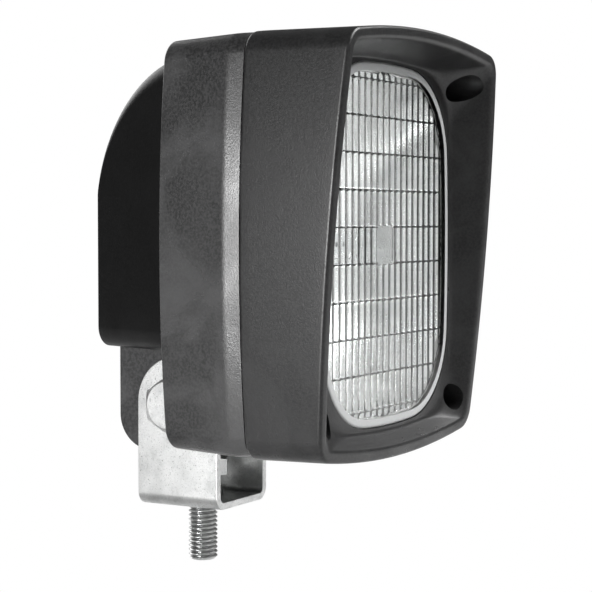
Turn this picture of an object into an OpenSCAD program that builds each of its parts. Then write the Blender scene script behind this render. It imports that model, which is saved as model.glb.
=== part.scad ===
// Auxiliary driving lamp on a single-stud bracket.
// A hooded front and a side frame clamp a fluted glass lens and a reflector
// against a rear housing.  The housing tilts on a cross bolt between the two
// ears of a U bracket, and the bracket swivels on its mounting bolt.
// +Z is up, the light shines towards -Y, and the origin is on the mounting
// bolt's axis at the underside of the bracket.

/* [Lamp body] */
// Width of the lamp at the seam between frame and hood
body_w = 116; // [100:1:150]
// Height of the lamp at the seam
body_h = 138; // [125:1:170]
// Depth of the side frame, from its rear edge to the seam
frame_d = 30.5; // [28:0.5:45]
// Depth of the hood at mid height, from the seam to its lip
hood_d = 31.5; // [28:0.5:45]
// Forward lean of the hood's front plane
hood_lean = 4.5; // [0:0.5:8]
// Radius of the body's long corners
corner_r = 8; // [6:0.5:14]
// Angle that a side has turned through where it meets a corner
side_crown = 6.3; // [2:0.1:9]
// Angle that the top and bottom have turned through at a corner
top_crown = 8.2; // [2:0.1:10]
// Wall of the frame and the hood
shell_t = 2.8; // [2:0.1:4]
// Width of the hood's flat front lip
lip_w = 3.8; // [3:0.1:6]

/* [Lens and reflector] */
// Width of the hood beside the lens, at each side
lens_side_rim = 11.5; // [10:0.5:18]
// Height of the hood above and below the lens
lens_end_rim = 10.25; // [9:0.25:18]
// Corner radius of the lens
lens_r = 30; // [18:1:36]
// Thickness of the glass
lens_t = 4; // [3:0.5:6]
// Hidden border of the glass that the hood holds
lens_border = 2.6; // [1.5:0.1:4]
// Depth from the lens face back to the lip at mid height
lens_recess = 10.5; // [8:0.5:16]
// Thickness of the rubber behind the lens
gasket_t = 1.8; // [1:0.1:3]
// Thickness of the reflector's sheet
reflector_t = 1.5; // [1:0.1:2]
// Depth of the reflector's bowl
bowl_d = 44; // [36:1:48]

/* [Rear housing] */
// Half width of the housing where it leaves the frame
box_front_hw = 40; // [34:1:46]
// Half width of the housing's rear face
box_rear_hw = 25.5; // [20:0.5:30]
// Distance that the housing stands behind the bolt axis
box_rear_y = 26; // [20:1:34]
// Height of the housing's floor above the bracket seat
box_floor_z = 54.5; // [53:0.5:60]
// Wall of the rear housing
box_t = 2.6; // [2:0.1:4]

/* [Bracket and bolts] */
// Clear width between the bracket's ears
ear_gap = 27.6; // [24:0.2:34]
// Thickness of the bracket's sheet
sheet_t = 2.5; // [2:0.1:4]
// Width of the bracket along the lamp
bracket_w = 32; // [28:1:36]
// Height of the tilt pivot above the seat
pivot_z = 35.5; // [35:0.5:40]
// Diameter of the mounting bolt and of the tilt bolt
bolt_d = 10; // [8:1:10]
// Width of their heads across the flats
bolt_af = 17; // [16:1:17]
// Height of a bolt's head
head_h = 6.4; // [5:0.1:7]
// Length of the mounting bolt under its head
stud_len = 30; // [25:1:50]
// Gap between the mounting bolt's head and the bracket seat
head_lift = 10; // [9:0.1:10.2]
// Radius of the lug's lower rear corner
lug_r = 12; // [10:0.5:12.5]

/* [Fits] */
// Radial clearance of a bolt that something turns on
running_gap = 0.06; // [0.02:0.01:0.1]
// Clearance between parts that slip together
slip_gap = 0.3; // [0.2:0.05:0.5]

/* [Hidden] */
$fn = 64;

BLACK = [0.10, 0.10, 0.11];
GREY_BLACK = [0.24, 0.24, 0.25];
RUBBER = [0.06, 0.06, 0.06];
ZINC = [0.82, 0.83, 0.82];
STEEL = [0.60, 0.61, 0.62];
BRASS = [0.78, 0.62, 0.30];
MIRROR = [0.90, 0.91, 0.92];
GLASS = [0.86, 0.90, 0.92, 0.55];

// The lamp's underside hangs this far above the bracket's seat.
body_floor_z = 20.5;
mid_z = body_floor_z + body_h / 2;
lens_w = body_w - 2 * lens_side_rim;
lens_h = body_h - 2 * lens_end_rim;

// Along Y, from the rear to the front.
frame_rear_y = -19.5;
seam_y = frame_rear_y - frame_d;
front_y = seam_y - hood_d;
lens_y = front_y + lens_recess;
lens_back_y = lens_y + lens_t;
flange_y = lens_back_y + gasket_t;
bowl_back_y = flange_y + reflector_t + bowl_d;
plate_y = frame_rear_y - 2;
plate_t = 3;
plate_front_y = plate_y - plate_t;
seal_t = 1.5;
lip_y = plate_front_y - seal_t;
lip_t = 1.6;
boss_d = 10;
boss_len = 9.5;
web_y = plate_front_y - boss_len;
web_t = 3;

// The four long screws stand in the corners that the lens leaves free.
screw_d = 4;
well_d = 9;
well_floor = 6;
screw_x = body_w / 2 - 11.8;
screw_z = body_h / 2 - 15.5;
insert_d = 5.6;

ear_out = ear_gap / 2 + sheet_t;
lug_hw = ear_gap / 2 - slip_gap;
thread_pitch_r = bolt_d / 2 - 0.49;
collar_h = 3;
collar_wall = 2.4;

ARC_N = 5;
SIDE_N = 4;

// Rounded rectangle with crowned sides, as points counter-clockwise from the
// middle of the right side.  The crowns are parabolas tangent to the corners.
function crowned(hw, hh, r, a = side_crown, b = top_crown) =
    let (ta = tan(a) / 2, tb = tan(b) / 2,
         p = hw - r * cos(a) - r * sin(a) * ta,
         q = hh - r * cos(b) - r * sin(b) * tb,
         px = (p - q * ta) / (1 - ta * tb),
         pz = q - px * tb,
         ze = pz + r * sin(a),
         xe = px + r * sin(b),
         quarter = concat(
             [for (i = [0 : SIDE_N]) let (z = ze * i / SIDE_N)
                 [hw - ta * z * z / ze, z]],
             [for (i = [1 : ARC_N]) let (w = a + (90 - a - b) * i / ARC_N)
                 [px + r * cos(w), pz + r * sin(w)]],
             [for (i = [1 : SIDE_N]) let (x = xe * (1 - i / SIDE_N))
                 [x, hh - tb * x * x / xe]]),
         n = len(quarter))
    concat(quarter,
        [for (i = [n - 2 : -1 : 0]) [-quarter[i][0], quarter[i][1]]],
        [for (i = [1 : n - 1]) [-quarter[i][0], -quarter[i][1]]],
        [for (i = [n - 2 : -1 : 1]) [quarter[i][0], -quarter[i][1]]]);

// The body's outline at depth y, drawn in by d.
function body_hw(y) = body_w / 2
    + (y > seam_y ? -2.2 * (y - seam_y) / frame_d : 0.7 * (seam_y - y) / hood_d);
function body_hh(y) = body_h / 2
    + (y > seam_y ? -1.4 * (y - seam_y) / frame_d : -0.6 * (seam_y - y) / hood_d);
function body_line(y, d = 0) =
    crowned(body_hw(y) - d, body_hh(y) - d, max(corner_r - d, 1.5));
function lens_line(d = 0) =
    crowned(lens_w / 2 + d, lens_h / 2 + d, lens_r + d, 3, 4);

// Puts an outline at depth y, leaning forward at the top by the angle given.
function stood(line, y, lean = 0) =
    [for (p = line) [p[0], y - p[1] * tan(lean), mid_z + p[1]]];

function middle(ring) = [for (a = [0 : 2]) let (v = [for (p = ring) p[a]]) (max(v) + min(v)) / 2];

// Closed solid through rings of equal point counts, from the rear forward.
module loft(rings) {
    n = len(rings[0]);
    m = len(rings);
    polyhedron(
        points = concat([for (ring = rings) each ring], [middle(rings[0]), middle(rings[m - 1])]),
        faces = concat(
            [for (i = [0 : n - 1]) [i, (i + 1) % n, m * n]],
            [for (k = [0 : m - 2]) for (i = [0 : n - 1]) let (j = (i + 1) % n)
                each [[k * n + i, (k + 1) * n + i, (k + 1) * n + j],
                      [k * n + i, (k + 1) * n + j, k * n + j]]],
            [for (i = [0 : n - 1]) [(m - 1) * n + (i + 1) % n, (m - 1) * n + i, m * n + 1]]));
}

// Straight bar of an outline between two depths, y0 behind y1.
module bar(line, y0, y1) {
    translate([0, y0, mid_z]) rotate([90, 0, 0]) linear_extrude(y0 - y1) polygon(line);
}

// Cylinder along Y that starts at y0 and runs forward.
module rod_y(x, z, d, y0, y1) {
    translate([x, y0, z]) rotate([90, 0, 0]) cylinder(d = d, h = y0 - y1);
}

module at_screws() {
    for (sx = [-1, 1]) for (sz = [-1, 1])
        translate([sx * screw_x, 0, mid_z + sz * screw_z]) children();
}

// Hexagon head or nut along Z with a chamfered top.
module hex_block(af, h) {
    intersection() {
        cylinder(d = af / cos(30), h = h, $fn = 6);
        union() {
            cylinder(d = af / cos(30) + 1, h = h - 1);
            translate([0, 0, h - 1]) cylinder(d1 = af / cos(30), d2 = af - 0.4, h = 1);
        }
    }
}

// ---- Bracket and bolts ----

// Full thread diameter outside the collar, pitch diameter where it is engaged.
module mounting_bolt() {
    engaged_top = sheet_t + collar_h + 0.5;
    tip = stud_len - head_lift;
    color(ZINC) union() {
        translate([0, 0, -tip]) cylinder(d1 = bolt_d - 2, d2 = bolt_d, h = 1);
        translate([0, 0, 1 - tip]) cylinder(d = bolt_d, h = tip - 1);
        translate([0, 0, -0.01]) cylinder(r = thread_pitch_r, h = engaged_top + 0.02);
        translate([0, 0, engaged_top]) cylinder(d = bolt_d, h = head_lift - engaged_top + 0.01);
        translate([0, 0, head_lift]) hex_block(bolt_af, head_h);
    }
}

// Sheet bent to a U, with round-ended ears and a drawn and tapped collar.
module bracket() {
    bend = 2;
    out = bend + sheet_t;
    top = pivot_z + bracket_w / 2;
    color(ZINC) difference() {
        union() {
            intersection() {
                rotate([90, 0, 0]) linear_extrude(bracket_w, center = true) difference() {
                    union() {
                        translate([-ear_out, out]) square([2 * ear_out, top - out]);
                        translate([-ear_out + out, 0]) square([2 * (ear_out - out), out]);
                        for (s = [-1, 1]) translate([s * (ear_out - out), out]) circle(out);
                    }
                    translate([-ear_gap / 2, out]) square([ear_gap, top]);
                    translate([-ear_gap / 2 + bend, sheet_t]) square([ear_gap - 2 * bend, out]);
                    for (s = [-1, 1]) translate([s * (ear_gap / 2 - bend), out]) circle(bend);
                }
                rotate([90, 0, 90]) linear_extrude(3 * ear_out, center = true) union() {
                    translate([-bracket_w / 2, 0]) square([bracket_w, pivot_z]);
                    translate([0, pivot_z]) circle(bracket_w / 2);
                }
            }
            translate([0, 0, sheet_t - 0.01])
                cylinder(r = thread_pitch_r + collar_wall, h = collar_h + 0.01);
        }
        translate([0, 0, -1])
            cylinder(r = thread_pitch_r + running_gap, h = sheet_t + collar_h + 2);
        translate([0, 0, -0.01]) cylinder(d1 = bolt_d + 1.4, d2 = bolt_d - 1, h = 1.2);
        translate([-2 * ear_out, 0, pivot_z]) rotate([0, 90, 0])
            cylinder(d = bolt_d + 0.6, h = 4 * ear_out);
    }
}

washer_t = 2;
nut_h = 9.5;
pivot_len = 2 * ear_out + washer_t + nut_h + 1;

// Tilt bolt, its head against the outside of the left ear.
module pivot_bolt() {
    color(ZINC) union() {
        translate([-ear_out - 1, 0, pivot_z]) rotate([0, 90, 0]) {
            cylinder(d = bolt_d, h = pivot_len);
            translate([0, 0, pivot_len - 0.01]) cylinder(d1 = bolt_d, d2 = bolt_d - 2, h = 1.01);
        }
        translate([-ear_out, 0, pivot_z]) rotate([0, -90, 0]) rotate(30)
            hex_block(bolt_af, head_h);
    }
}

module pivot_washer() {
    color(ZINC) translate([ear_out, 0, pivot_z]) rotate([0, 90, 0]) difference() {
        cylinder(d = 2 * bolt_d, h = washer_t);
        translate([0, 0, -1]) cylinder(d = bolt_d + 0.5, h = washer_t + 2);
    }
}

// Lock nut with a rounded collar that holds its nylon ring.
module pivot_nut() {
    hex_h = nut_h - 2.5;
    color(ZINC) translate([ear_out + washer_t, 0, pivot_z]) rotate([0, 90, 0]) difference() {
        union() {
            rotate(30) cylinder(d = bolt_af / cos(30), h = hex_h, $fn = 6);
            translate([0, 0, hex_h - 0.01]) cylinder(d = bolt_af - 1, h = 1.6);
            translate([0, 0, hex_h + 1.58]) cylinder(d1 = bolt_af - 1, d2 = bolt_af - 4, h = 0.92);
        }
        translate([0, 0, -1]) cylinder(d = bolt_d + 0.1, h = nut_h + 2);
    }
}

// ---- Rear housing ----

box_mid_z = box_floor_z + 49.5;
box_rise = body_floor_z + body_h - 7.5 - box_mid_z;
box_corner = 7;

// Half width and top of the tapered housing at depth y, drawn in by d.
function box_hw(y) = box_front_hw
    + (box_rear_hw - box_front_hw) * (y - frame_rear_y) / (box_rear_y - frame_rear_y);
function box_top(y) = let (u = (y - frame_rear_y) / (box_rear_y - frame_rear_y + 0.6))
    box_mid_z + box_rise * sqrt(max(0, 1 - u * u));
function box_line(y, d) =
    let (hw = box_hw(y) - d, lo = box_floor_z + d, hi = box_top(y) - d,
         r = max(box_corner - d, 2),
         corner = function (cx, cz, w0) [for (i = [0 : 5])
             [cx + r * cos(w0 + 18 * i), y, cz + r * sin(w0 + 18 * i)]])
    concat(corner(hw - r, hi - r, 0), corner(-hw + r, hi - r, 90),
           corner(-hw + r, lo + r, 180), corner(hw - r, lo + r, 270));
// Depths of the rings, closer together where the top turns down.
function box_depths(front, rear) = [for (i = [0 : 9]) rear + (front - rear) * pow(i / 9, 1.7)];

module box_form(d, front) {
    loft([for (y = box_depths(front, box_rear_y - d)) box_line(y, d)]);
}

module lug_outline() {
    union() {
        translate([box_rear_y - lug_r, pivot_z - 5]) circle(lug_r);
        translate([-5, pivot_z - 5])
            square([box_rear_y + 5, box_floor_z + 2 - (pivot_z - 5)]);
        translate([0, pivot_z]) circle(pivot_z - head_lift - head_h - 1.7);
        translate([-pivot_z + head_lift + head_h + 1.7, pivot_z])
            square([20, box_floor_z + 2 - pivot_z]);
    }
}

module rear_housing() {
    color(BLACK) difference() {
        union() {
            box_form(0, plate_y - 1);
            bar(body_line(plate_y, shell_t + slip_gap), plate_y, plate_front_y);
            rotate([90, 0, 90]) linear_extrude(2 * lug_hw, center = true) lug_outline();
            intersection() {
                at_screws() rod_y(0, 0, boss_d, plate_y - 1, web_y);
                bar(body_line(plate_y, shell_t + slip_gap + 0.2), plate_y - 1, web_y);
            }
        }
        box_form(box_t, plate_front_y - 1);
        translate([-2 * lug_hw, 0, pivot_z]) rotate([0, 90, 0])
            cylinder(d = bolt_d + 4, h = 4 * lug_hw);
        at_screws() rod_y(0, 0, insert_d, plate_front_y, web_y - 1);
        rod_y(0, socket_z, 13, box_rear_y + 1, box_rear_y - 2 * box_t);
        for (s = [-1, 1])
            rod_y(s * socket_screw_x, socket_z, 3, box_rear_y + 1, box_rear_y - 2 * box_t);
        translate([vent_x, vent_y, box_floor_z - 1]) cylinder(d = 6, h = 2 * box_t + 1);
    }
}

// Steel tube that the tilt bolt passes through, so that the ears can clamp.
module pivot_sleeve() {
    color(STEEL) translate([-lug_hw - 0.1, 0, pivot_z]) rotate([0, 90, 0]) difference() {
        cylinder(d = bolt_d + 4, h = 2 * lug_hw + 0.2);
        translate([0, 0, -1]) cylinder(r = bolt_d / 2 + running_gap, h = 2 * lug_hw + 3);
    }
}

module housing_gasket() {
    color(RUBBER) difference() {
        bar(body_line(plate_y, shell_t + slip_gap + 0.2), plate_front_y, lip_y);
        difference() {
            bar(body_line(plate_y, shell_t + slip_gap + 4.2), plate_front_y + 1, lip_y - 1);
            at_screws() rod_y(0, 0, boss_d + 6, plate_front_y + 2, lip_y - 2);
        }
        at_screws() rod_y(0, 0, boss_d + 0.6, plate_front_y + 1, lip_y - 1);
    }
}

// ---- Side frame and hood ----

support_out = lens_border + slip_gap;
support_t = 2;

// Outer band, a rear lip, a web, and a wall that carries the reflector.
module side_frame() {
    color(GREY_BLACK) difference() {
        loft([stood(body_line(frame_rear_y), frame_rear_y),
              stood(body_line(seam_y), seam_y)]);
        difference() {
            loft([stood(body_line(frame_rear_y, shell_t), frame_rear_y + 0.01),
                  stood(body_line(seam_y, shell_t), seam_y - 0.01)]);
            difference() {
                bar(body_line(plate_y, 1), lip_y, lip_y - lip_t);
                difference() {
                    bar(body_line(plate_y, shell_t + 5), lip_y + 1, lip_y - lip_t - 1);
                    at_screws() rod_y(0, 0, boss_d + 7, lip_y + 2, lip_y - lip_t - 2);
                }
                at_screws() rod_y(0, 0, boss_d + 1, lip_y + 1, lip_y - lip_t - 1);
            }
            difference() {
                union() {
                    bar(body_line(web_y, 1), web_y, web_y - web_t);
                    bar(lens_line(support_out), web_y, seam_y);
                    at_screws() rod_y(0, 0, boss_d, web_y, seam_y);
                }
                bar(lens_line(support_out - support_t), web_y + 1, seam_y - 1);
            }
        }
        at_screws() rod_y(0, 0, screw_d + 0.5, web_y + 1, seam_y - 1);
    }
    color(GREY_BLACK) difference() {
        bar(lens_line(support_out), seam_y + 0.01, flange_y + reflector_t);
        bar(lens_line(support_out - support_t), seam_y + 1, flange_y);
    }
}

// Foot of the funnel: closer to the corners than the lens is, which leaves a
// ledge between them there.
foot_side = 1.5;
foot_r = 20;
ledge_t = 1;
function foot_line() =
    crowned(lens_w / 2 + foot_side, lens_h / 2 + foot_side, foot_r, 3, 4);

// Rings of the hood's section: up the outside, over the lip, down the funnel,
// round the seat of the lens, and back along the inside.
function hood_rings() =
    let (core_y = lens_back_y + 1,
         lip = crowned(body_hw(front_y) - lip_w, body_hh(front_y) - lip_w, max(corner_r - lip_w, 3)),
         pocket = lens_line(lens_border + 0.2))
    [stood(body_line(seam_y), seam_y),
     stood(body_line(front_y), front_y, hood_lean),
     stood(lip, front_y, hood_lean),
     stood(foot_line(), lens_y - ledge_t),
     stood(lens_line(), lens_y - ledge_t),
     stood(lens_line(), lens_y),
     stood(pocket, lens_y),
     stood(pocket, core_y),
     stood(body_line(core_y, shell_t), core_y),
     stood(body_line(seam_y, shell_t), seam_y)];

// Closed frame through rings that lead round a section and back to the first.
module frame_loft(rings) {
    n = len(rings[0]);
    m = len(rings);
    polyhedron(
        points = [for (ring = rings) each ring],
        faces = [for (k = [0 : m - 1]) for (i = [0 : n - 1])
            let (j = (i + 1) % n, l = (k + 1) % m)
                each [[k * n + i, l * n + i, l * n + j], [k * n + i, l * n + j, k * n + j]]]);
}

// Deep hood around the lens, with four wells that lead to its screws.
module hood() {
    tube_d = well_d + 3.4;
    color(GREY_BLACK) difference() {
        union() {
            frame_loft(hood_rings());
            at_screws() rod_y(0, 0, tube_d, seam_y, lens_back_y);
        }
        at_screws() {
            rod_y(0, 0, well_d, seam_y - well_floor, front_y - 20);
            rod_y(0, 0, screw_d + 0.5, seam_y + 1, seam_y - well_floor - 1);
        }
    }
}

// ---- Optics ----

// Pressed glass: plain flanged pane here, with its bands of flutes on the back.
module lens() {
    color(GLASS) union() {
        bar(lens_line(lens_border), lens_back_y, lens_y);
        bar(lens_line(-1), lens_y, lens_y - 1);
    }
}

module lens_gasket() {
    color(RUBBER) difference() {
        bar(lens_line(lens_border), flange_y, lens_back_y);
        bar(lens_line(-2.4), flange_y + 1, lens_back_y - 1);
    }
}

neck_r = 15;
BOWL_N = 7;

// Ring of the bowl at u, from 0 at the neck to 1 at the mouth.
function bowl_ring(u, d, y) =
    let (k = sqrt(u), n = len(lens_line(0)), mouth = lens_line(-2.6 + d))
    [for (i = [0 : n - 1])
        let (m = mouth[i], w = atan2(m[1], m[0]), c = [cos(w), sin(w)] * (neck_r + d))
        [c[0] + (m[0] - c[0]) * k, y, mid_z + c[1] + (m[1] - c[1]) * k]];

// Bowl that opens from a round neck to the lens outline, with a flat flange.
module reflector() {
    mouth_y = flange_y + reflector_t;
    color(MIRROR) difference() {
        union() {
            loft([for (i = [0 : BOWL_N]) let (u = i / BOWL_N)
                bowl_ring(u, reflector_t, bowl_back_y + (mouth_y - bowl_back_y) * u)]);
            bar(lens_line(lens_border), mouth_y, flange_y);
        }
        loft([for (i = [0 : BOWL_N]) let (u = i / BOWL_N)
            bowl_ring(u, 0, bowl_back_y - reflector_t
                + (mouth_y - bowl_back_y + reflector_t) * u)]);
        bar(lens_line(-2.6), mouth_y + 0.01, flange_y - 1);
        rod_y(0, mid_z, 2 * bulb_r + 1, bowl_back_y + 1, bowl_back_y - 4);
    }
}

bulb_r = 9;
seat_t = 2;
base_t = 1.2;

// Pressed ring and strip at the back of the bowl, with two hinge loops and a catch.
module bulb_seat() {
    y0 = bowl_back_y + seat_t;
    color(STEEL) difference() {
        union() {
            rod_y(0, mid_z, 2 * neck_r, y0, bowl_back_y);
            translate([-13, bowl_back_y, mid_z - hinge_drop - 2])
                cube([26, seat_t, 2 * hinge_drop + 2.5]);
            for (s = [-1, 1]) translate([s * 10 - 2, bowl_back_y, mid_z - hinge_drop - 2])
                cube([4, hinge_y - bowl_back_y + 2, 4]);
            translate([-3, bowl_back_y, mid_z + hinge_drop - 1.5]) cube([6, 3.5, 1.5]);
        }
        rod_y(0, mid_z, 2 * bulb_r + 1, y0 + 1, bowl_back_y - 1);
        translate([-20, hinge_y, mid_z - hinge_drop]) rotate([0, 90, 0])
            cylinder(r = wire_r + 0.08, h = 40);
    }
}

// Flanged metal cap of the bulb.
module bulb_base() {
    y0 = bowl_back_y + seat_t + base_t;
    color(STEEL) union() {
        rod_y(0, mid_z, 24, y0, bowl_back_y + seat_t);
        rod_y(0, mid_z, 2 * bulb_r, bowl_back_y + seat_t + 0.01, bowl_back_y - 4);
        rod_y(0, mid_z, 9, y0 + 7, y0 - 0.01);
    }
}

glass_r = 4.8;
glass_len = 22;

module bulb_glass() {
    y0 = bowl_back_y - 4;
    color(GLASS) difference() {
        union() {
            rod_y(0, mid_z, 2 * glass_r, y0, y0 - glass_len);
            translate([0, y0 - glass_len, mid_z]) sphere(glass_r);
        }
        union() {
            rod_y(0, mid_z, 2 * glass_r - 2, y0 - 3, y0 - glass_len);
            translate([0, y0 - glass_len, mid_z]) sphere(glass_r - 1);
        }
    }
}

// Coil on its two supports, inside the capsule.
module bulb_filament() {
    y0 = bowl_back_y - 7;
    y1 = y0 - 12;
    color(STEEL) union() {
        for (s = [-1, 1]) translate([2 * s - 0.3, y1, mid_z - 0.3]) cube([0.6, y0 - y1, 0.6]);
        translate([-3, y1, mid_z]) rotate([0, 90, 0]) cylinder(d = 1.6, h = 6);
    }
}

wire_r = 0.8;
hinge_drop = 17;
hinge_y = bowl_back_y + 4.6;
clip_hw = 7;

// Sprung wire: hinge bar, two legs that press on the cap, and a cross bar.
module bulb_clip() {
    reach = 2 * hinge_drop - 3;
    color(STEEL) translate([0, hinge_y, mid_z - hinge_drop]) union() {
        translate([-13, 0, 0]) rotate([0, 90, 0]) cylinder(r = wire_r, h = 26);
        for (s = [-1, 1]) translate([s * clip_hw, 0, 0]) cylinder(r = wire_r, h = reach);
        translate([-clip_hw - wire_r, 0, reach]) rotate([0, 90, 0])
            cylinder(r = wire_r, h = 2 * (clip_hw + wire_r));
    }
}

lead_d = 2.4;

// One insulated lead, straight from behind the cap to the back of the inlet.
module lead(s) {
    y0 = bowl_back_y + seat_t + base_t + 7.5;
    y1 = socket_inner_y - 0.5;
    fall = mid_z - socket_z;
    translate([2.6 * s, y0, mid_z]) rotate([-90 - atan2(fall, y1 - y0), 0, 0])
        cylinder(d = lead_d, h = norm([fall, y1 - y0]));
}
module live_lead() { color([0.55, 0.08, 0.06]) lead(-1); }
module ground_lead() { color([0.12, 0.12, 0.13]) lead(1); }

// ---- Electrical inlet, screws and vent ----

socket_z = 78;
socket_screw_x = 13;
socket_seal_t = 1;
socket_plate_y = box_rear_y + socket_seal_t;
socket_inner_y = box_rear_y - 2 * box_t;
socket_depth = 9;
socket_plate_t = 2;
shroud_step = 2;

module socket_plate_outline() {
    offset(3) square([28, 12], center = true);
}

module shroud_outline(d) {
    square([2 * shroud_step, d], center = true);
    for (s = [-1, 1]) translate([shroud_step * s, 0]) circle(d = d);
}

// Two-pole inlet with an oval shroud, held by two screws.
module power_socket() {
    color(BLACK) translate([0, socket_plate_y, socket_z]) difference() {
        union() {
            rotate([-90, 0, 0]) linear_extrude(socket_plate_t) socket_plate_outline();
            rotate([90, 0, 0]) translate([0, 0, -0.01])
                cylinder(d = 12.4, h = socket_plate_y - socket_inner_y);
            translate([0, socket_plate_t - 0.01, 0]) rotate([-90, 0, 0])
                linear_extrude(socket_depth) shroud_outline(12);
        }
        translate([0, socket_plate_t, 0]) rotate([-90, 0, 0])
            linear_extrude(socket_depth + 1) shroud_outline(9);
        for (s = [-1, 1]) translate([s * socket_screw_x, -1, 0]) rotate([-90, 0, 0])
            cylinder(d = 3.4, h = socket_plate_t + 2);
        for (s = [-1, 1]) translate([2.6 * s, socket_plate_t + 1, 0]) rotate([90, 0, 0])
            cylinder(d = 1.8, h = 40);
    }
}

module socket_pins() {
    color(BRASS) for (s = [-1, 1])
        rod_y(2.6 * s, socket_z, 1.8, socket_plate_y + socket_depth - 1, socket_inner_y);
}

module socket_gasket() {
    color(RUBBER) translate([0, box_rear_y, socket_z]) rotate([-90, 0, 0]) difference() {
        linear_extrude(socket_seal_t) offset(2.4) square([28, 12], center = true);
        translate([0, 0, -1]) cylinder(d = 13, h = socket_seal_t + 2);
        for (s = [-1, 1]) translate([s * socket_screw_x, 0, -1])
            cylinder(d = 3.4, h = socket_seal_t + 2);
    }
}

module socket_screws() {
    head_y = socket_plate_y + socket_plate_t;
    color(ZINC) for (s = [-1, 1]) translate([s * socket_screw_x, head_y, socket_z])
        rotate([-90, 0, 0]) difference() {
            union() {
                cylinder(d1 = 6, d2 = 4.4, h = 1.9);
                translate([0, 0, -8]) cylinder(d = 3, h = 8.01);
            }
            translate([0, 0, 0.9]) cylinder(d = 2.4, h = 2, $fn = 6);
        }
}

// Four long screws, each in its well, down to the inserts.
module hood_screws() {
    color(ZINC) at_screws() rotate([90, 0, 0]) translate([0, 0, -seam_y + well_floor])
        difference() {
            union() {
                cylinder(d = 8.4, h = 3);
                translate([0, 0, -(well_floor + web_y - seam_y) - boss_len + 2])
                    cylinder(d = screw_d, h = well_floor + web_y - seam_y + boss_len - 1.99);
            }
            translate([0, 0, 1]) cylinder(d = 4.6, h = 3, $fn = 6);
        }
}

module thread_inserts() {
    color(BRASS) at_screws() rotate([90, 0, 0]) translate([0, 0, -plate_front_y + 1])
        difference() {
            cylinder(d = insert_d, h = boss_len - 1);
            translate([0, 0, -1]) cylinder(d = screw_d, h = boss_len + 1);
        }
}

vent_x = 24;
vent_y = -5;

module breather_vent() {
    color(BLACK) translate([vent_x, vent_y, box_floor_z]) union() {
        translate([0, 0, -2.5]) cylinder(d1 = 8, d2 = 9, h = 2.5);
        translate([0, 0, -0.01]) cylinder(d = 6, h = box_t + 1);
    }
}

mounting_bolt();
bracket();
pivot_bolt();
pivot_washer();
pivot_nut();
rear_housing();
pivot_sleeve();
housing_gasket();
side_frame();
hood();
lens();
lens_gasket();
reflector();
bulb_seat();
bulb_base();
bulb_glass();
bulb_filament();
bulb_clip();
live_lead();
ground_lead();
power_socket();
socket_pins();
socket_gasket();
socket_screws();
hood_screws();
thread_inserts();
breather_vent();
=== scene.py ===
import bpy
import bmesh
from math import atan2, cos, pi, radians, sin, sqrt, tan
from mathutils import Matrix, Vector


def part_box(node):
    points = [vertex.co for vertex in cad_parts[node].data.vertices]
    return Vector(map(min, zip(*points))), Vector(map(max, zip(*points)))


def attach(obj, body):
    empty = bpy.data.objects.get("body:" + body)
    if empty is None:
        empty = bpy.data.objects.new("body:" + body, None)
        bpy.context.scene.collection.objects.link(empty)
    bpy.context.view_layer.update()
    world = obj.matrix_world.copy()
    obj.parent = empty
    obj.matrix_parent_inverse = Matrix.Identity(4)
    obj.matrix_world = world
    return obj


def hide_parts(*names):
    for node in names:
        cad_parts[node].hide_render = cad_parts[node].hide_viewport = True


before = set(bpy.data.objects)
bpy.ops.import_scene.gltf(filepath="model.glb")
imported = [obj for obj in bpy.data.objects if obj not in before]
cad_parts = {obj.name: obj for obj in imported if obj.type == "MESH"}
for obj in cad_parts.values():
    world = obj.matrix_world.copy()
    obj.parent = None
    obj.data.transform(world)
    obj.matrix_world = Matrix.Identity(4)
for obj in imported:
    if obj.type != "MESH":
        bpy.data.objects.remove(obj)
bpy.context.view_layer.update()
MM = 0.001


# ---- Camera, floor and lights -------------------------------------------------
# The lamp is seen from its left, well round towards the side, with the camera
# at the height of the lens.  A narrow soft box stands at its side, a wide one
# high in front and one behind, and a low one fills from below.

def aim(obj, spot):
    obj.rotation_euler = (Vector(spot) - obj.location).to_track_quat("-Z", "Y").to_euler()


def around(spot, azimuth, elevation, distance):
    a, e = radians(azimuth), radians(elevation)
    return Vector(spot) + distance * Vector((sin(a) * cos(e), -cos(a) * cos(e), sin(e)))


camera_spot = Vector((0.0001, -0.0371, 0.0722))
camera_azimuth, camera_elevation, camera_distance = -60.5, 2.6, 0.560
camera = bpy.data.objects.new("camera", bpy.data.cameras.new("camera"))
bpy.context.scene.collection.objects.link(camera)
camera.location = around(camera_spot, camera_azimuth, camera_elevation, camera_distance)
camera.data.sensor_width = 36.0
camera.data.lens = 101.6
camera.data.clip_start = 0.01
aim(camera, camera_spot)
bpy.context.scene.camera = camera


def soft_box(name, azimuth, elevation, distance, width, height, power, spot=camera_spot):
    data = bpy.data.lights.new(name, "AREA")
    data.shape = "RECTANGLE"
    data.size, data.size_y = width, height
    data.energy = power
    lamp = bpy.data.objects.new(name, data)
    bpy.context.scene.collection.objects.link(lamp)
    lamp.location = around(spot, azimuth, elevation, distance)
    aim(lamp, spot)


soft_box("side_box", -98, 1, 1.0, 0.26, 0.34, 8.2)
soft_box("front_box", 38, 44, 1.3, 1.0, 0.8, 24.0)
soft_box("low_box", 45, -26, 1.1, 0.6, 0.30, 3.5)
soft_box("rear_box", 158, 26, 1.3, 0.9, 0.7, 5.0)

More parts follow.
